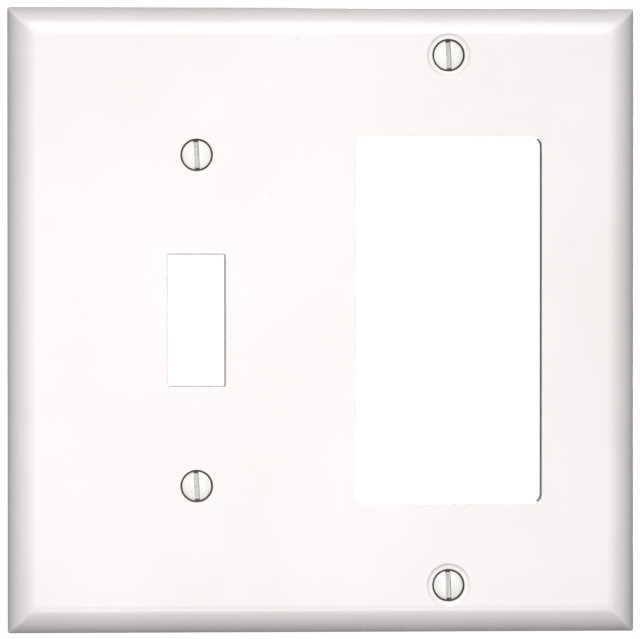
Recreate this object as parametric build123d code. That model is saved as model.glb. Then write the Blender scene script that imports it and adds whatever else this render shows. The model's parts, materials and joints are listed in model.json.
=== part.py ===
from build123d import *
import math
import os

# Two-gang combination wall plate, for a toggle switch beside a rocker-style device, with its four screws.
#
# The plate is one hollow moulding, open at the back: a flat face with a rounded bevel all round, a small
# opening for a toggle lever, a large one for a rocker switch, dimmer or outlet face, and four countersunk
# screw holes. Collars, bosses and ribs stiffen it inside. Each screw is a No. 6-32 machine screw with a
# slotted oval head, dropped in its hole from the front.
#
# The part stands upright as on a wall: +X to its right, +Z up, front towards -Y, and its origin is the
# centre of the plate on the wall plane. Every piece is drawn lying on its back, with x to the right, y up
# the plate and z out of the wall, and is stood up when it is written. Sizes are in millimetres.

# Plate outside
PLATE_WIDTH = 114.8
PLATE_HEIGHT = 114.3
PLATE_DEPTH = 5.6
WALL = 2.2
CORNER_RADIUS = 0.45
# The bevel's arcs from the flat face outwards: radius, slope at the start and slope at the end in degrees
BEVEL = [(4.0, 0.0, 28.0), (8.0, 28.0, 62.0), (1.2, 62.0, 88.0)]

# Device centres and their screws, at the standard spacings of 1-13/16, 2-3/8 and 3-13/16 inch
GANG_SPACING = 46.04
TOGGLE_X = -GANG_SPACING / 2
ROCKER_X = GANG_SPACING / 2
TOGGLE_SCREW_Y = 60.33 / 2
ROCKER_SCREW_Y = 96.84 / 2

# Openings: width and height of the straight land, its corner radius, and the rounding of the front edge
TOGGLE_OPENING = (10.4, 24.0)
TOGGLE_CORNER = 0.3
TOGGLE_EDGE = 0.38
ROCKER_OPENING = (34.1, 66.9)
ROCKER_CORNER = 1.6
ROCKER_EDGE = 0.12

# Inside of the plate: ribs, collars and bosses end clear of the metal strap of the device behind
INNER_FACE_Z = PLATE_DEPTH - WALL
RIB_END_Z = 1.7
RIB_THICKNESS = 1.2
COLLAR_THICKNESS = 1.5
BOSS_RADIUS = 4.6
CROSS_RIB_Y = (9.0, 22.0)
EJECTOR_RADIUS = 2.2
EJECTOR_HEIGHT = 0.2
EJECTOR_SPOTS = [(51.0, 44.0), (3.5, 44.0), (-44.0, 44.0), (-44.0, 15.5), (-8.0, 15.5), (50.0, 14.0)]

# Screw holes: clearance hole, countersink and, for the rocker's screws, a shallow round recess
HOLE_RADIUS = 1.95
MOUTH_RADIUS = 2.96
MOUTH_DEPTH = 0.5
COUNTERSINK_SLOPE = math.tan(math.radians(82 / 2))
RECESS_DEPTH = 0.4
RECESS_FLOOR_RADIUS = 3.4
RECESS_RIM_RADIUS = 4.2

# Screws: 12.7 mm long from the widest part of the head to the point, with a plain neck above the thread
THREAD_RADIUS = 1.75
NECK_RADIUS = 1.45
NECK_LENGTH = 2.7
HEAD_RADIUS = 2.64
HEAD_RIM = 0.4
DOME_HEIGHT = 0.6
SCREW_LENGTH = 12.7
POINT_CHAMFER = 0.5
SLOT_WIDTH = 0.9
SLOT_DEPTH = 1.35
SLOT_TILT = 3.0
SEAT_LIFT = 0.09

# Name of each screw, its x and y, and how far the mouth of its hole lies below the plate's face
SCREWS = {
    "upper_toggle_screw": (TOGGLE_X, TOGGLE_SCREW_Y, 0.0),
    "lower_toggle_screw": (TOGGLE_X, -TOGGLE_SCREW_Y, 0.0),
    "upper_rocker_screw": (ROCKER_X, ROCKER_SCREW_Y, RECESS_DEPTH),
    "lower_rocker_screw": (ROCKER_X, -ROCKER_SCREW_Y, RECESS_DEPTH),
}


def sine(degrees):
    return math.sin(math.radians(degrees))


def cosine(degrees):
    return math.cos(math.radians(degrees))


def bevel_arcs(half, inset):
    """The bevel's arcs on a section this half wide, each moved in from the surface by inset.

    An arc that is too tight to be moved in that far is left out.
    """
    x = half - sum(radius * (sine(end) - sine(start)) for radius, start, end in BEVEL)
    z = PLATE_DEPTH
    arcs = []
    for radius, start, end in BEVEL:
        centre = (x - radius * sine(start), z - radius * cosine(start))
        x = centre[0] + radius * sine(end)
        z = centre[1] + radius * cosine(end)
        if radius < inset + 0.5:
            continue
        reach = min(1.0, (half - inset - centre[0]) / (radius - inset))
        end = min(end, math.degrees(math.asin(reach)))
        arcs.append(CenterArc(centre, radius - inset, 90 - end, end - start))
    return arcs


def bevelled_bar(span, length, inset, foot):
    """A bar along y, with the plate's section across x down to z = foot, moved in by inset."""
    arcs = bevel_arcs(span / 2, inset)
    crown = arcs[0] @ 1
    edge = arcs[-1] @ 0
    half = Curve() + arcs
    half += Line((0, crown.Y), crown)
    half += Polyline(edge, (edge.X, foot), (0, foot))
    section = make_face(half + mirror(half, Plane.YZ))
    return extrude(Plane.XZ * section, length / 2 - inset, both=True)


def pillow(inset, foot):
    """The plate's outside, or with an inset the hollow within: what two crossed bars share."""
    across = bevelled_bar(PLATE_WIDTH, PLATE_HEIGHT, inset, foot)
    along = Rot(0, 0, 90) * bevelled_bar(PLATE_HEIGHT, PLATE_WIDTH, inset, foot)
    return across & along


def standing(outline):
    """A rib, collar or boss of this outline, from where ribs end to the middle of the face."""
    return Pos(0, 0, RIB_END_Z) * extrude(outline, INNER_FACE_Z + WALL / 2 - RIB_END_Z)


def rib(start, end):
    """A straight rib between two points, along x or along y."""
    width = abs(end[0] - start[0]) + RIB_THICKNESS
    height = abs(end[1] - start[1]) + RIB_THICKNESS
    middle = ((start[0] + end[0]) / 2, (start[1] + end[1]) / 2)
    return standing(Pos(*middle) * Rectangle(width, height))


def collar(x, opening, corner):
    """The thick rim behind an opening."""
    width, height = opening
    outer = RectangleRounded(
        width + 2 * COLLAR_THICKNESS, height + 2 * COLLAR_THICKNESS, corner + COLLAR_THICKNESS
    )
    return standing(Pos(x, 0) * outer)


def stiffening():
    """Collars, bosses and ribs inside the plate, reaching into its walls."""
    rim_x = (PLATE_WIDTH - WALL) / 2
    rim_y = (PLATE_HEIGHT - WALL) / 2
    toggle_cross, rocker_cross = CROSS_RIB_Y
    parts = collar(TOGGLE_X, TOGGLE_OPENING, TOGGLE_CORNER)
    parts += collar(ROCKER_X, ROCKER_OPENING, ROCKER_CORNER)
    parts += rib((0, -rim_y), (0, rim_y))
    for x, y, _ in SCREWS.values():
        parts += standing(Pos(x, y) * Circle(BOSS_RADIUS))
    for side in (1, -1):
        parts += rib((-rim_x, side * toggle_cross), (0, side * toggle_cross))
        parts += rib((0, side * rocker_cross), (rim_x, side * rocker_cross))
        parts += rib((TOGGLE_X, side * TOGGLE_OPENING[1] / 2), (TOGGLE_X, side * rim_y))
        parts += rib((ROCKER_X, side * ROCKER_OPENING[1] / 2), (ROCKER_X, side * rim_y))
    return parts & pillow(WALL / 2, RIB_END_Z)


def ejector_pads():
    """Low round pads that the mould's ejector pins leave on the inside of the face."""
    pad = Cylinder(EJECTOR_RADIUS, WALL / 2 + EJECTOR_HEIGHT, align=(Align.CENTER, Align.CENTER, Align.MAX))
    spots = [Pos(x, side * y, INNER_FACE_Z + WALL / 2) for x, y in EJECTOR_SPOTS for side in (1, -1)]
    return [spot * pad for spot in spots]


def opening_cutter(x, opening, corner):
    """A straight hole through face and collar, with the corner radius of the opening's land."""
    return Pos(x, 0, -1) * extrude(RectangleRounded(*opening, corner), PLATE_DEPTH + 2)


def hole_cutter(recess):
    """Clearance hole and countersink on the z axis, with its recess in the face where it has one."""
    above = PLATE_DEPTH + 1
    mouth_z = PLATE_DEPTH - recess
    sink_z = mouth_z - MOUTH_DEPTH
    neck_z = sink_z - (MOUTH_RADIUS - HOLE_RADIUS) / COUNTERSINK_SLOPE
    outline = Curve() + Polyline((0, -1), (HOLE_RADIUS, -1), (HOLE_RADIUS, neck_z), (MOUTH_RADIUS, sink_z))
    outline += Line((MOUTH_RADIUS, sink_z), (MOUTH_RADIUS, mouth_z))
    rim = Vector(MOUTH_RADIUS, mouth_z)
    if recess:
        width = RECESS_RIM_RADIUS - RECESS_FLOOR_RADIUS
        turn = 2 * math.degrees(math.atan2(recess, width))
        radius = width / (2 * sine(turn))
        rise = JernArc((RECESS_FLOOR_RADIUS, mouth_z), (1, 0), radius, turn)
        crest = JernArc(rise @ 1, rise % 1, radius, -turn)
        outline += [Line(rim, rise @ 0), rise, crest]
        rim = crest @ 1
    outline += Polyline(rim, (rim.X, above), (0, above), (0, -1))
    return revolve(Plane.XZ * make_face(outline), Axis.Z)


def front_edges(plate, x, opening):
    """The edges that an opening makes in the plate's face."""
    width, height = opening
    found = plate.edges().filter_by_position(Axis.Z, PLATE_DEPTH, PLATE_DEPTH)
    found = found.filter_by_position(Axis.X, x - width / 2, x + width / 2)
    return found.filter_by_position(Axis.Y, -height / 2, height / 2)


def wall_plate():
    """The moulding: shell, stiffening, openings and screw holes."""
    outside = pillow(0, 0)
    plate = fillet(outside.edges().filter_by(Axis.Z), CORNER_RADIUS)
    plate -= pillow(WALL, -1)
    plate += stiffening()
    plate += ejector_pads()
    plate -= opening_cutter(TOGGLE_X, TOGGLE_OPENING, TOGGLE_CORNER)
    plate -= opening_cutter(ROCKER_X, ROCKER_OPENING, ROCKER_CORNER)
    plate = fillet(front_edges(plate, TOGGLE_X, TOGGLE_OPENING), TOGGLE_EDGE)
    plate = fillet(front_edges(plate, ROCKER_X, ROCKER_OPENING), ROCKER_EDGE)
    for x, y, recess in SCREWS.values():
        plate -= Pos(x, y) * hole_cutter(recess)
    return plate


def oval_head_screw(recess):
    """A slotted oval-head machine screw on the z axis, seated in the countersink of its hole.

    Its thread is drawn as a plain cylinder of the thread's outside radius.
    """
    mouth_z = PLATE_DEPTH - recess
    seat_z = mouth_z - MOUTH_DEPTH - (MOUTH_RADIUS - HEAD_RADIUS) / COUNTERSINK_SLOPE + SEAT_LIFT
    neck_z = seat_z - (HEAD_RADIUS - NECK_RADIUS) / COUNTERSINK_SLOPE
    thread_z = neck_z - NECK_LENGTH
    rim_z = seat_z + HEAD_RIM
    top_z = rim_z + DOME_HEIGHT
    point_z = rim_z - SCREW_LENGTH
    dome_radius = (HEAD_RADIUS**2 + DOME_HEIGHT**2) / (2 * DOME_HEIGHT)
    dome_angle = math.degrees(math.asin(HEAD_RADIUS / dome_radius))
    outline = Curve() + CenterArc((0, top_z - dome_radius), dome_radius, 90 - dome_angle, dome_angle)
    outline += Polyline(
        (HEAD_RADIUS, rim_z),
        (HEAD_RADIUS, seat_z),
        (NECK_RADIUS, neck_z),
        (NECK_RADIUS, thread_z),
        (THREAD_RADIUS, thread_z - (THREAD_RADIUS - NECK_RADIUS)),
        (THREAD_RADIUS, point_z + POINT_CHAMFER),
        (THREAD_RADIUS - POINT_CHAMFER, point_z),
        (0, point_z),
        (0, top_z),
    )
    screw = revolve(Plane.XZ * make_face(outline), Axis.Z)
    slot = Box(SLOT_WIDTH, 3 * HEAD_RADIUS, 2 * SLOT_DEPTH)
    return screw - Pos(0, 0, top_z) * Rot(0, 0, SLOT_TILT) * slot


def write(name, piece):
    """Stand a piece up against the wall plane and write it."""
    export_step(Plane.XZ.location * piece, f"parts/{name}.step")


os.makedirs("parts", exist_ok=True)
write("wall_plate", wall_plate())
for name, (x, y, recess) in SCREWS.items():
    write(name, Pos(x, y) * oval_head_screw(recess))
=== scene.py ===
import json
import math

import bmesh
import bpy
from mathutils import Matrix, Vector


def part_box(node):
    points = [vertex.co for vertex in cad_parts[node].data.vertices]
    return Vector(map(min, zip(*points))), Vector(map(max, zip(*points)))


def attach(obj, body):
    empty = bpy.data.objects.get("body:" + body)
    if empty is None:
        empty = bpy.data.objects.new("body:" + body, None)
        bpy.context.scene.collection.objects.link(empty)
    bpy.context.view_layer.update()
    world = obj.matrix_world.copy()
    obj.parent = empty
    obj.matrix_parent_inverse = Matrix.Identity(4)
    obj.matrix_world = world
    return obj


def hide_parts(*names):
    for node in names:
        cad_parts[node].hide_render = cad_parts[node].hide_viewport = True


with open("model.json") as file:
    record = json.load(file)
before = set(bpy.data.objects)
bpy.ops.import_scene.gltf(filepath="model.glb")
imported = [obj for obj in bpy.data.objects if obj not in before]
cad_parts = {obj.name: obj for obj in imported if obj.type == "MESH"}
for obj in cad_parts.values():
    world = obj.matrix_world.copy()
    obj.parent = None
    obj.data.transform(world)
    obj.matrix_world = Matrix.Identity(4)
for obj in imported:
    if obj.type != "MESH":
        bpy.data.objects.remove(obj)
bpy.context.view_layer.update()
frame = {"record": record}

mm = 0.001


# Camera. The plate is looked at almost square on, from a little to the left of its middle, through a long
# lens, so that its sides stay parallel and only a sliver shows of each opening's right wall.
plate_low, plate_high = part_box("wall_plate")
plate_width = plate_high.x - plate_low.x
plate_height = plate_high.z - plate_low.z
plate_depth = plate_high.y - plate_low.y
view_distance = 1.0
view_azimuth = math.radians(-3.4)
view_elevation = math.radians(0.8)
margin = 1.0195

camera_data = bpy.data.cameras.new("camera")
camera_data.lens = camera_data.sensor_width * view_distance / (plate_width * margin)
camera_data.shift_x = -0.0031
camera_data.shift_y = 0.0012
camera_data.clip_start = 0.01
camera = bpy.data.objects.new("camera", camera_data)
bpy.context.collection.objects.link(camera)
to_camera = Vector((
    math.sin(view_azimuth) * math.cos(view_elevation),
    -math.cos(view_azimuth) * math.cos(view_elevation),
    math.sin(view_elevation),
))
camera.location = (plate_low + plate_high) / 2 + to_camera * view_distance
camera.rotation_euler = to_camera.to_track_quat("Z", "Y").to_euler()
bpy.context.scene.camera = camera
bpy.context.scene.view_settings.view_transform = "Standard"


# Wall plate. One compression moulding in white urea plastic: a flat face with a rounded bevel, hollow
# behind, with collars round its openings, bosses round its screw holes and ribs across the back. Its
# rim lies on the wall, and the screws hold it to the devices behind.
wall = 2.2 * mm
side_corner = 0.45 * mm
face_corner = 0.8 * mm
rim_softness = 0.2 * mm
# The bevel's arcs from the side wall to the face: radius, slope at the start and at the end in degrees
bevel_arcs = [(1.2 * mm, 88, 62), (8.0 * mm, 62, 28), (4.0 * mm, 28, 0)]
# Each opening's width, height, corner radius and the rounding of its front edge
toggle_opening = (10.4 * mm, 24.0 * mm, 0.3 * mm, 0.38 * mm)
rocker_opening = (34.1 * mm, 66.9 * mm, 1.6 * mm, 0.12 * mm)
inner_face = plate_depth - wall
rib_end = 1.7 * mm
rib_width = 1.2 * mm
collar_width = 1.5 * mm
boss_radius = 4.6 * mm
hole_radius = 1.95 * mm
mouth_radius = 2.96 * mm
mouth_depth = 0.5 * mm
countersink_slope = math.tan(math.radians(41))
recess_depth = 0.4 * mm
recess_floor_radius = 3.4 * mm
recess_rim_radius = 4.2 * mm
# How far a cutter reaches past what it cuts, and the least distance between two of its outlines
overshoot = 1 * mm
hair = 0.002 * mm
mounts = {mount["name"]: mount for mount in frame["record"]["mounts"]}


def rounded_outline(x, z, width, height, radius, off_wall, steps=8):
    """Points round a rectangle with rounded corners, this far off the wall."""
    points = []
    for corner, (side_x, side_z) in enumerate([(1, 1), (-1, 1), (-1, -1), (1, -1)]):
        for step in range(steps + 1):
            angle = math.pi / 2 * (corner + step / steps)
            across = side_x * (width / 2 - radius) + radius * math.cos(angle)
            up = side_z * (height / 2 - radius) + radius * math.sin(angle)
            points.append((x + across, -off_wall, z + up))
    return points


def circle(x, z, radius, off_wall, steps=96):
    """Points round a circle, this far off the wall."""
    angles = [2 * math.pi * step / steps for step in range(steps)]
    return [(x + radius * math.cos(a), -off_wall, z + radius * math.sin(a)) for a in angles]


def closed_solid(name, rings):
    """A closed mesh through rings that have one point count, with a flat cap at each end."""
    count = len(rings[0])
    last = (len(rings) - 1) * count
    faces = [tuple(range(count)), tuple(range(last, last + count))]
    for ring in range(len(rings) - 1):
        for point in range(count):
            near = ring * count + point
            beside = ring * count + (point + 1) % count
            faces.append((near, beside, beside + count, near + count))
    mesh = bpy.data.meshes.new(name)
    mesh.from_pydata([point for ring in rings for point in ring], [], faces)
    shape = bmesh.new()
    shape.from_mesh(mesh)
    bmesh.ops.recalc_face_normals(shape, faces=shape.faces)
    shape.to_mesh(mesh)
    shape.free()
    solid = bpy.data.objects.new(name, mesh)
    bpy.context.collection.objects.link(solid)
    return solid


def combine(piece, tool, operation):
    """Join a solid to a piece, cut it away or keep what they share, and remove the solid."""
    change = piece.modifiers.new("combine", "BOOLEAN")
    change.object = tool
    change.operation = operation
    change.solver = "MANIFOLD"
    bpy.context.view_layer.objects.active = piece
    bpy.ops.object.modifier_apply(modifier=change.name)
    bpy.data.objects.remove(tool)


def bevel_section(inset):
    """Distance in from the side and height off the wall along the bevel, moved inwards by inset."""
    rise = sum(r * (math.cos(math.radians(b)) - math.cos(math.radians(a))) for r, a, b in bevel_arcs)
    across, height = 0.0, plate_depth - rise
    section = []
    for radius, start, end in bevel_arcs:
        steps = max(4, round(abs(start - end) / 2.5))
        for step in range(steps + 1):
            slope = math.radians(start + (end - start) * step / steps)
            run = across + radius * (math.sin(math.radians(start)) - math.sin(slope))
            climb = height + radius * (math.cos(slope) - math.cos(math.radians(start)))
            section.append((run + inset * math.sin(slope), climb - inset * math.cos(slope)))
        across += radius * (math.sin(math.radians(start)) - math.sin(math.radians(end)))
        height += radius * (math.cos(math.radians(end)) - math.cos(math.radians(start)))
    kept = [section[0]]
    for point in section[1:]:
        if point[0] - kept[-1][0] > 0.02 * mm:
            kept.append(point)
    return [point for point in kept if point[0] >= inset]


def plate_solid(name, inset, foot):
    """The plate's outside, or with an inset the hollow within it, down to a foot off the wall."""
    section = bevel_section(inset)
    width_of_bevel = section[-1][0]
    rings = []
    if inset == 0:
        for turn in (0, 30, 60):
            run = rim_softness * (1 - math.sin(math.radians(turn)))
            rings.append((run, rim_softness * (1 - math.cos(math.radians(turn)))))
        rings.append((0, rim_softness))
    else:
        rings.append((inset, foot))
    rings += section
    outlines = []
    for run, off_wall in rings:
        softening = face_corner + (side_corner - face_corner) * (1 - run / width_of_bevel)
        width = plate_width - 2 * run
        height = plate_height - 2 * run
        outlines.append(rounded_outline(0, 0, width, height, softening, off_wall))
    return closed_solid(name, outlines)


def standing(name, outline_at):
    """A rib, collar or boss: drafted sides, a softened end, and a fillet at the face it stands on."""
    draft = 0.1 * mm
    softness = 0.15 * mm
    fillet = 0.3 * mm
    stations = []
    for turn in (0, 30, 60, 90):
        angle = math.radians(turn)
        off_wall = rib_end + softness * (1 - math.cos(angle))
        stations.append((off_wall, softness * (math.sin(angle) - 1) - draft))
    for turn in (0, 22.5, 45, 67.5, 90):
        angle = math.radians(turn)
        off_wall = inner_face - fillet * (1 - math.sin(angle))
        stations.append((off_wall, fillet * (1 - math.cos(angle))))
    stations.append((inner_face + wall / 2, fillet))
    return closed_solid(name, [outline_at(off_wall, growth) for off_wall, growth in stations])


def box_standing(name, x, z, width, height, radius):
    """A standing rib or collar of this outline."""
    least_radius = 0.05 * mm

    def outline_at(off_wall, growth):
        corner = max(radius + growth, least_radius)
        return rounded_outline(x, z, width + 2 * growth, height + 2 * growth, corner, off_wall, 6)

    return standing(name, outline_at)


def boss(x, z):
    """A standing boss round a screw hole."""
    def outline_at(off_wall, growth):
        return circle(x, z, boss_radius + growth, off_wall, 64)

    return standing("boss", outline_at)


def rib(start, end):
    """A standing rib between two points, along x or along z."""
    end_radius = 0.35 * mm
    width = abs(end[0] - start[0]) + rib_width
    height = abs(end[1] - start[1]) + rib_width
    x, z = (start[0] + end[0]) / 2, (start[1] + end[1]) / 2
    return box_standing("rib", x, z, width, height, end_radius)


def screw_places():
    """Each screw's node, the x and z of its axis, and how deep its hole's recess is."""
    places = []
    for device, recess in (("toggle", 0.0), ("rocker", recess_depth)):
        mount = mounts[device + "_device_screws"]
        reach = mount["dims"]["spacing_y_mm"] / 2 * mm
        for end, side in (("upper", 1), ("lower", -1)):
            places.append((f"{end}_{device}_screw", mount["pos_m"][0], side * reach, recess))
    return places


def opening_cutter(x, opening):
    """A straight hole with a rounded front edge and a slightly broken back edge."""
    width, height, corner, edge = opening
    back_edge = 0.12 * mm
    stations = [(-overshoot, back_edge), (rib_end, back_edge), (rib_end + back_edge, 0)]
    for turn in range(0, 91, 15):
        angle = math.radians(turn)
        off_wall = plate_depth - edge * (1 - math.sin(angle))
        stations.append((off_wall, edge * (1 - math.cos(angle))))
    stations[-1] = (plate_depth + hair, edge)
    stations.append((plate_depth + overshoot, edge))
    outlines = []
    for off_wall, growth in stations:
        wide, high = width + 2 * growth, height + 2 * growth
        outlines.append(rounded_outline(x, 0, wide, high, corner + growth, off_wall, 10))
    return closed_solid("opening", outlines)


def hole_cutter(x, z, recess):
    """A clearance hole and countersink, with a recess in the face where the hole has one."""
    mouth = plate_depth - recess
    sink = mouth - mouth_depth
    neck = sink - (mouth_radius - hole_radius) / countersink_slope
    edge = 0.05 * mm
    arc_steps = 6
    stations = [(-overshoot, hole_radius), (neck, hole_radius), (sink, mouth_radius)]
    stations += [(mouth - edge, mouth_radius), (mouth - 0.3 * edge, mouth_radius + 0.3 * edge)]
    if recess:
        stations += [(mouth, mouth_radius + edge), (mouth + hair, recess_floor_radius)]
        width = recess_rim_radius - recess_floor_radius
        turn = 2 * math.atan2(recess, width)
        radius = width / (2 * math.sin(turn))
        # The recess's wall is an S of two equal arcs, from its floor up to the face
        for step in range(1, arc_steps + 1):
            angle = turn * step / arc_steps
            climb, run = radius * (1 - math.cos(angle)), radius * math.sin(angle)
            stations.append((mouth + climb, recess_floor_radius + run))
        for step in range(arc_steps - 1, -1, -1):
            angle = turn * step / arc_steps
            climb, run = radius * (1 - math.cos(angle)), radius * math.sin(angle)
            stations.append((plate_depth - climb, recess_rim_radius - run))
        stations[-1] = (plate_depth + hair, recess_rim_radius)
        stations.append((plate_depth + overshoot, recess_rim_radius))
    else:
        stations += [(mouth + hair, mouth_radius + edge), (mouth + overshoot, mouth_radius + edge)]
    return closed_solid("hole", [circle(x, z, radius, off_wall) for off_wall, radius in stations])


def stiffening():
    """The collars, bosses and ribs, trimmed to stay inside the plate's walls."""
    toggle_x = mounts["toggle_device_screws"]["pos_m"][0]
    rocker_x = mounts["rocker_device_screws"]["pos_m"][0]
    rim_x, rim_z = (plate_width - wall) / 2, (plate_height - wall) / 2
    toggle_cross, rocker_cross = 9 * mm, 22 * mm
    parts = []
    for x, (width, height, corner, _) in ((toggle_x, toggle_opening), (rocker_x, rocker_opening)):
        wide, high = width + 2 * collar_width, height + 2 * collar_width
        parts.append(box_standing("collar", x, 0, wide, high, corner + collar_width))
    for _, x, z, _ in screw_places():
        parts.append(boss(x, z))
    parts.append(rib((0, -rim_z), (0, rim_z)))
    for side in (1, -1):
        parts.append(rib((-rim_x, side * toggle_cross), (0, side * toggle_cross)))
        parts.append(rib((0, side * rocker_cross), (rim_x, side * rocker_cross)))
        parts.append(rib((toggle_x, side * toggle_opening[1] / 2), (toggle_x, side * rim_z)))
        parts.append(rib((rocker_x, side * rocker_opening[1] / 2), (rocker_x, side * rim_z)))
    whole = parts.pop(0)
    for part in parts:
        combine(whole, part, "UNION")
    combine(whole, plate_solid("middle of the walls", wall / 2, rib_end - overshoot), "INTERSECT")
    return whole


def ejector_pad(x, z):
    """A low round pad that an ejector pin leaves on the inside of the face."""
    radius, height, softness = 2.2 * mm, 0.2 * mm, 0.08 * mm
    tip = inner_face - height
    stations = [(tip, radius - softness), (tip + softness, radius), (inner_face + wall / 2, radius)]
    return closed_solid("pad", [circle(x, z, r, off_wall, 48) for off_wall, r in stations])


moulding = plate_solid("moulding", 0, 0)
combine(moulding, plate_solid("hollow", wall, -overshoot), "DIFFERENCE")
combine(moulding, stiffening(), "UNION")
pads_in_mm = [(51, 44), (3.5, 44), (-44, 44), (-44, 15.5), (-8, 15.5), (50, 14)]
for pad_x, pad_z in pads_in_mm:
    for side in (1, -1):
        combine(moulding, ejector_pad(pad_x * mm, side * pad_z * mm), "UNION")
combine(moulding, opening_cutter(mounts["toggle_opening"]["pos_m"][0], toggle_opening), "DIFFERENCE")
combine(moulding, opening_cutter(mounts["rocker_opening"]["pos_m"][0], rocker_opening), "DIFFERENCE")
for _, hole_x, hole_z, recess in screw_places():
    combine(moulding, hole_cutter(hole_x, hole_z, recess), "DIFFERENCE")


def smooth_shading(piece, sharp_above):
    """Smooth every face, keep edges sharper than this angle crisp, and let large flat faces stay flat."""
    piece.data.shade_smooth()
    piece.data.set_sharp_from_angle(angle=math.radians(sharp_above))
    steady = piece.modifiers.new("steady normals", "WEIGHTED_NORMAL")
    steady.keep_sharp = True


smooth_shading(moulding, 32)


def new_material(name):
    """An empty node material, with its shader and the nodes that most of these finishes need."""
    material = bpy.data.materials.new(name)
    material.use_nodes = True
    nodes = material.node_tree.nodes
    shader = nodes["Principled BSDF"]
    place = nodes.new("ShaderNodeTexCoord")
    return material, nodes, material.node_tree.links, shader, place


def noise(nodes, links, place, scale, detail=2.0):
    """A noise pattern with this many features to the metre."""
    pattern = nodes.new("ShaderNodeTexNoise")
    pattern.inputs["Scale"].default_value = scale
    pattern.inputs["Detail"].default_value = detail
    links.new(place.outputs["Object"], pattern.inputs["Vector"])
    return pattern.outputs["Fac"]


def spread(nodes, links, value, low, high, to_low, to_high):
    """Stretch a pattern from one range of values to another."""
    stretch = nodes.new("ShaderNodeMapRange")
    stretch.inputs["From Min"].default_value = low
    stretch.inputs["From Max"].default_value = high
    stretch.inputs["To Min"].default_value = to_low
    stretch.inputs["To Max"].default_value = to_high
    links.new(value, stretch.inputs["Value"])
    return stretch.outputs["Result"]


def blend_colour(nodes, links, share, first, second):
    """Two colours mixed by a pattern; either may be a colour or another node's output."""
    mix = nodes.new("ShaderNodeMix")
    mix.data_type = "RGBA"
    links.new(share, mix.inputs["Factor"])
    for socket, colour in ((mix.inputs["A"], first), (mix.inputs["B"], second)):
        if isinstance(colour, tuple):
            socket.default_value = (*colour, 1)
        else:
            links.new(colour, socket)
    return mix.outputs["Result"]


def relief(nodes, links, shader, layers):
    """Bump from several patterns, each with its own height in metres."""
    normal = None
    for pattern, height in layers:
        bump = nodes.new("ShaderNodeBump")
        bump.inputs["Strength"].default_value = 1.0
        bump.inputs["Distance"].default_value = height
        links.new(pattern, bump.inputs["Height"])
        if normal:
            links.new(normal, bump.inputs["Normal"])
        normal = bump.outputs["Normal"]
    links.new(normal, shader.inputs["Normal"])


def moulded_plastic():
    """White urea: cloudy in the mass, peppered with a few dark specks, glossy with a faint orange peel."""
    material, nodes, links, shader, place = new_material("moulded_plastic")
    cloud = spread(nodes, links, noise(nodes, links, place, 28, 4), 0.35, 0.65, 0, 1)
    body = blend_colour(nodes, links, cloud, (0.89, 0.848, 0.845), (0.86, 0.817, 0.809))
    cells = nodes.new("ShaderNodeTexVoronoi")
    cells.inputs["Scale"].default_value = 420
    links.new(place.outputs["Object"], cells.inputs["Vector"])
    chance = nodes.new("ShaderNodeSeparateColor")
    links.new(cells.outputs["Color"], chance.inputs["Color"])
    chosen = spread(nodes, links, chance.outputs["Red"], 0.955, 0.96, 0, 0.55)
    inside = spread(nodes, links, cells.outputs["Distance"], 0.03, 0.055, 1, 0)
    speck = nodes.new("ShaderNodeMath")
    speck.operation = "MULTIPLY"
    links.new(chosen, speck.inputs[0])
    links.new(inside, speck.inputs[1])
    colour = blend_colour(nodes, links, speck.outputs["Value"], body, (0.33, 0.27, 0.22))
    links.new(colour, shader.inputs["Base Color"])
    gloss = noise(nodes, links, place, 160, 3)
    links.new(spread(nodes, links, gloss, 0.3, 0.7, 0.15, 0.22), shader.inputs["Roughness"])
    relief(nodes, links, shader, [
        (noise(nodes, links, place, 450, 2), 0.004 * mm),
        (noise(nodes, links, place, 4200, 2), 0.0008 * mm),
    ])
    return material


def countersink_painted_shade():
    """The same plastic inside the countersinks, dull, and painted dark grey as the shade that falls in the
    gap round each screw head.
    """
    material, nodes, links, shader, place = new_material("countersink_painted_shade")
    grain = spread(nodes, links, noise(nodes, links, place, 1800, 3), 0.35, 0.65, 0, 1)
    colour = blend_colour(nodes, links, grain, (0.06, 0.055, 0.05), (0.12, 0.11, 0.10))
    links.new(colour, shader.inputs["Base Color"])
    gloss = noise(nodes, links, place, 900, 2)
    links.new(spread(nodes, links, gloss, 0.3, 0.7, 0.7, 0.9), shader.inputs["Roughness"])
    relief(nodes, links, shader, [(noise(nodes, links, place, 6000, 3), 0.004 * mm)])
    return material


moulding.data.materials.clear()
moulding.data.materials.append(moulded_plastic())
moulding.data.materials.append(countersink_painted_shade())
# Faces inside the countersinks take the dark painted shade, standing in for the shadow in the gap round each
# screw head
for face in moulding.data.polygons:
    for _, hole_x, hole_z, _ in screw_places():
        reach = math.hypot(face.center.x - hole_x, face.center.z - hole_z)
        in_hole = reach < mouth_radius + 0.01 * mm and abs(face.normal.y) < 0.99
        if in_hole and -face.center.y > inner_face:
            face.material_index = 1
moulding.name = "wall_plate_moulding"
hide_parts("wall_plate")
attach(moulding, "plate")


# Screws. Four No. 6-32 oval-head machine screws in zinc-plated steel, with slotted heads painted white to
# match the plate. The head is cold formed and its slot sawn or pressed; the thread is rolled, and leaves
# a plain neck below the head.
head_radius = 2.64 * mm
head_rim = 0.4 * mm
dome_height = 0.6 * mm
seat_lift = 0.09 * mm
neck_radius = 1.45 * mm
neck_length = 2.7 * mm
screw_length = 12.7 * mm
thread_radius = 1.74 * mm
thread_root = 1.33 * mm
thread_pitch = 0.794 * mm
point_chamfer = 0.5 * mm
slot_width = 0.9 * mm
slot_depth = 1.35 * mm
slot_tilt = math.radians(3)


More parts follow.
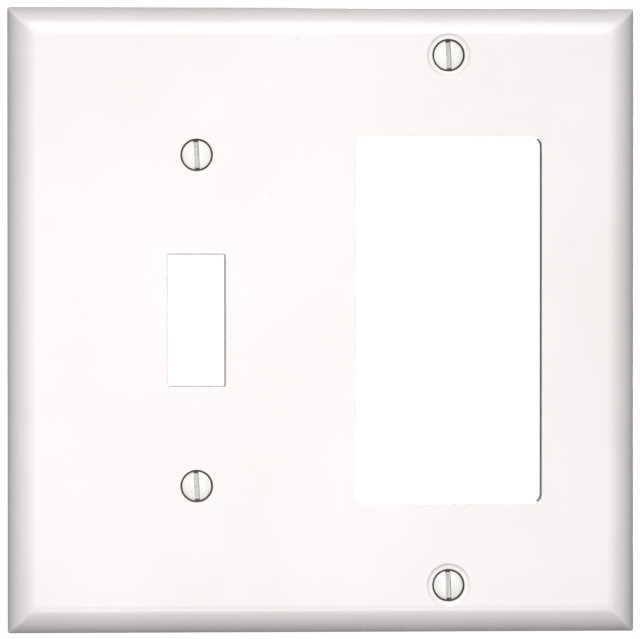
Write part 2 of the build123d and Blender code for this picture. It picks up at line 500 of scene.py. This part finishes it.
def head_solid(x, z, rim, seat, neck):
    """The oval head from its dome to the end of the plain neck, with its edges a little rounded."""
    dome_radius = (head_radius**2 + dome_height**2) / (2 * dome_height)
    reach = math.asin(head_radius / dome_radius)
    edge = 0.07 * mm
    dome_steps = 13
    stations = []
    for step in range(1, dome_steps):
        angle = reach * step / dome_steps
        fall = dome_radius * (1 - math.cos(angle))
        stations.append((dome_radius * math.sin(angle), rim + dome_height - fall))
    stations += [
        (head_radius - edge, rim + 0.02 * mm),
        (head_radius - 0.02 * mm, rim - 0.3 * edge),
        (head_radius, rim - edge),
        (head_radius, seat + edge),
        (head_radius - 0.5 * edge, seat - 0.3 * edge),
        (neck_radius + 0.1 * mm, neck + 0.06 * mm),
        (neck_radius, neck - 0.08 * mm),
        (neck_radius, neck - 0.9 * neck_length),
        (thread_root - 0.1 * mm, neck - neck_length),
    ]
    return closed_solid("head", [circle(x, z, radius, off_wall) for radius, off_wall in stations])


def slot_cutter(x, z, top):
    """A straight slot right across the head, its floor rounded into its sides."""
    reach = 2 * head_radius
    softness = 0.12 * mm
    right = []
    for turn in (0, 45, 90):
        angle = math.radians(turn)
        across = slot_width / 2 - softness + softness * math.cos(angle)
        right.append((across, top - slot_depth + softness * (1 - math.sin(angle))))
    left = [(-across, off_wall) for across, off_wall in reversed(right)]
    section = [(slot_width / 2, top + overshoot), *right, *left, (-slot_width / 2, top + overshoot)]
    rings = []
    for along in (-reach, reach):
        ring = []
        for across, off_wall in section:
            turned_x = across * math.cos(slot_tilt) - along * math.sin(slot_tilt)
            turned_z = across * math.sin(slot_tilt) + along * math.cos(slot_tilt)
            ring.append((x + turned_x, -off_wall, z + turned_z))
        rings.append(ring)
    return closed_solid("slot", rings)


def threaded_shank(x, z, start, point):
    """The rolled thread as a true helix, running out at the neck and chamfered at the point."""
    around, to_pitch = 48, 12
    # How high a ridge would stand at its middle, in thread depths, and how steeply its flanks fall: it is
    # cut off flat at the crest and at the root
    ridge_height, flank = 1.25, 2.9
    length = start - point
    rows = round(length / thread_pitch * to_pitch)
    rings = []
    for row in range(rows + 1):
        off_wall = start - length * row / rows
        run_out = min(1.0, (start - off_wall) / (1.2 * thread_pitch))
        limit = min(thread_radius, thread_radius - point_chamfer + (off_wall - point))
        ring = []
        for step in range(around):
            turn = step / around
            phase = ((start - off_wall) / thread_pitch + turn) % 1.0
            ridge = min(1.0, max(0.0, ridge_height - flank * abs(phase - 0.5)))
            radius = min(thread_root + (thread_radius - thread_root) * ridge * run_out, limit)
            angle = 2 * math.pi * turn
            ring.append((x + radius * math.cos(angle), -off_wall, z + radius * math.sin(angle)))
        rings.append(ring)
    return closed_solid("thread", rings)


def soften_edges(piece, width):
    """Round the crisp edges of the head, as paint does."""
    rounding = piece.modifiers.new("soften", "BEVEL")
    rounding.width = width
    rounding.segments = 2
    rounding.limit_method = "ANGLE"
    rounding.angle_limit = math.radians(40)
    bpy.context.view_layer.objects.active = piece
    bpy.ops.object.modifier_apply(modifier=rounding.name)


def head_paint():
    """White enamel over the head, thick enough to soften it, with fine drawn lines showing through."""
    material, nodes, links, shader, place = new_material("head_paint")
    stretch = nodes.new("ShaderNodeMapping")
    stretch.inputs["Scale"].default_value = (1, 1, 0.08)
    links.new(place.outputs["Object"], stretch.inputs["Vector"])
    lines = nodes.new("ShaderNodeTexNoise")
    lines.inputs["Scale"].default_value = 5200
    lines.inputs["Detail"].default_value = 3
    links.new(stretch.outputs["Vector"], lines.inputs["Vector"])
    shade = spread(nodes, links, lines.outputs["Fac"], 0.35, 0.65, 0, 1)
    colour = blend_colour(nodes, links, shade, (0.85, 0.84, 0.82), (0.92, 0.91, 0.89))
    links.new(colour, shader.inputs["Base Color"])
    gloss = noise(nodes, links, place, 900, 2)
    links.new(spread(nodes, links, gloss, 0.3, 0.7, 0.28, 0.42), shader.inputs["Roughness"])
    relief(nodes, links, shader, [
        (noise(nodes, links, place, 1500, 2), 0.003 * mm),
        (lines.outputs["Fac"], 0.0015 * mm),
    ])
    return material


def zinc_plate():
    """Bright zinc on steel, a little cloudy, with a warm tint in places and fine rolling marks."""
    material, nodes, links, shader, place = new_material("zinc_plate")
    shader.inputs["Metallic"].default_value = 1.0
    cloud = spread(nodes, links, noise(nodes, links, place, 700, 4), 0.35, 0.65, 0, 1)
    colour = blend_colour(nodes, links, cloud, (0.56, 0.57, 0.59), (0.70, 0.68, 0.63))
    links.new(colour, shader.inputs["Base Color"])
    gloss = noise(nodes, links, place, 2600, 3)
    links.new(spread(nodes, links, gloss, 0.3, 0.7, 0.24, 0.46), shader.inputs["Roughness"])
    relief(nodes, links, shader, [(noise(nodes, links, place, 9000, 2), 0.001 * mm)])
    return material


def slot_painted_shade():
    """The slot, painted grey as the shade that falls inside it, with a faint mottle."""
    material, nodes, links, shader, place = new_material("slot_painted_shade")
    slot_mottle = spread(nodes, links, noise(nodes, links, place, 2400, 3), 0.35, 0.65, 0, 1)
    colour = blend_colour(nodes, links, slot_mottle, (0.50, 0.495, 0.48), (0.66, 0.655, 0.64))
    links.new(colour, shader.inputs["Base Color"])
    gloss = noise(nodes, links, place, 1500, 2)
    links.new(spread(nodes, links, gloss, 0.3, 0.7, 0.4, 0.6), shader.inputs["Roughness"])
    relief(nodes, links, shader, [(noise(nodes, links, place, 5000, 2), 0.003 * mm)])
    return material


paint = head_paint()
zinc = zinc_plate()
slot_shade = slot_painted_shade()
for node, x, z, recess in screw_places():
    mouth = plate_depth - recess
    seat = mouth - mouth_depth - (mouth_radius - head_radius) / countersink_slope + seat_lift
    neck = seat - (head_radius - neck_radius) / countersink_slope
    rim = seat + head_rim
    slot_floor = rim + dome_height - slot_depth
    screw = head_solid(x, z, rim, seat, neck)
    combine(screw, slot_cutter(x, z, rim + dome_height), "DIFFERENCE")
    soften_edges(screw, 0.05 * mm)
    combine(screw, threaded_shank(x, z, neck - 0.8 * neck_length, rim - screw_length), "UNION")
    screw.data.materials.clear()
    for finish in (paint, zinc, slot_shade):
        screw.data.materials.append(finish)
    for face in screw.data.polygons:
        across = (face.center.x - x) * math.cos(slot_tilt) + (face.center.z - z) * math.sin(slot_tilt)
        in_slot = abs(across) < slot_width / 2 + 0.01 * mm
        # Faces in the slot take the grey painted shade, standing in for the shade inside the slot
        if in_slot and -face.center.y > slot_floor - 0.01 * mm:
            face.material_index = 2
        elif -face.center.y < rim - 0.06 * mm:
            face.material_index = 1
    smooth_shading(screw, 38)
    screw.name = node + "_detailed"
    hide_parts(node)
    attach(screw, node)


# Studio. A plain pale floor far under the plate, which hangs as on its wall; a tall soft light above that
# draws the bright band along the upper bevel, a slim one below, a near one in front and one behind.
floor_drop = 1.2
floor_reach = 12.0


def floor_paint():
    """Pale matt paint that glows a little, as a floor lit from elsewhere does."""
    material, nodes, links, shader, place = new_material("floor_paint")
    tone = noise(nodes, links, place, 3, 2)
    colour = blend_colour(nodes, links, tone, (0.86, 0.86, 0.855), (0.89, 0.885, 0.88))
    links.new(colour, shader.inputs["Base Color"])
    gloss = noise(nodes, links, place, 40, 3)
    links.new(spread(nodes, links, gloss, 0.3, 0.7, 0.75, 0.9), shader.inputs["Roughness"])
    shader.inputs["Emission Color"].default_value = (0.92, 0.92, 0.91, 1)
    shader.inputs["Emission Strength"].default_value = 0.82
    return material


floor_mesh = bpy.data.meshes.new("floor")
floor_mesh.from_pydata(circle(0, 0, floor_reach, 0, 128), [], [tuple(range(128))])
floor = bpy.data.objects.new("floor", floor_mesh)
floor.rotation_euler = (math.radians(90), 0, 0)
floor.location = (0, 0, plate_low.z - floor_drop)
bpy.context.collection.objects.link(floor)
floor_mesh.materials.append(floor_paint())
floor.visible_diffuse = False
floor.visible_glossy = False


def softbox(name, azimuth, elevation, distance, width, height, watts, reflected=True):
    """A soft rectangular light that faces the plate; it isn't seen itself, and the gloss may not show it."""
    lamp = bpy.data.lights.new(name, "AREA")
    lamp.shape = "RECTANGLE"
    lamp.size = width
    lamp.size_y = height
    lamp.energy = watts
    light = bpy.data.objects.new(name, lamp)
    a, e = math.radians(azimuth), math.radians(elevation)
    towards = Vector((math.sin(a) * math.cos(e), -math.cos(a) * math.cos(e), math.sin(e)))
    light.location = towards * distance
    light.rotation_euler = towards.to_track_quat("Z", "Y").to_euler()
    light.visible_camera = False
    light.visible_glossy = reflected
    bpy.context.collection.objects.link(light)


softbox("upper key", 0, 46, 1.6, 0.7, 1.56, 12.4)
softbox("lower fill", 0, -34, 1.5, 0.5, 0.2, 1.7)
softbox("front fill", -4, -1, 0.3, 0.2, 0.2, 0.742, reflected=False)
softbox("back fill", 168, 8, 1.8, 0.55, 0.8, 27)

world = bpy.data.worlds.new("studio")
bpy.context.scene.world = world
world.use_nodes = True
world_nodes = world.node_tree.nodes
world_links = world.node_tree.links
surround = world_nodes["Background"]
surround.inputs["Color"].default_value = (0.95, 0.97, 1.0, 1)
surround.inputs["Strength"].default_value = 0.05
backdrop = world_nodes.new("ShaderNodeBackground")
backdrop.inputs["Color"].default_value = (1, 1, 1, 1)
backdrop.inputs["Strength"].default_value = 1.05
seen = world_nodes.new("ShaderNodeLightPath")
choice = world_nodes.new("ShaderNodeMixShader")
world_links.new(seen.outputs["Is Camera Ray"], choice.inputs["Fac"])
world_links.new(surround.outputs["Background"], choice.inputs[1])
world_links.new(backdrop.outputs["Background"], choice.inputs[2])
world_links.new(choice.outputs["Shader"], world_nodes["World Output"].inputs["Surface"])
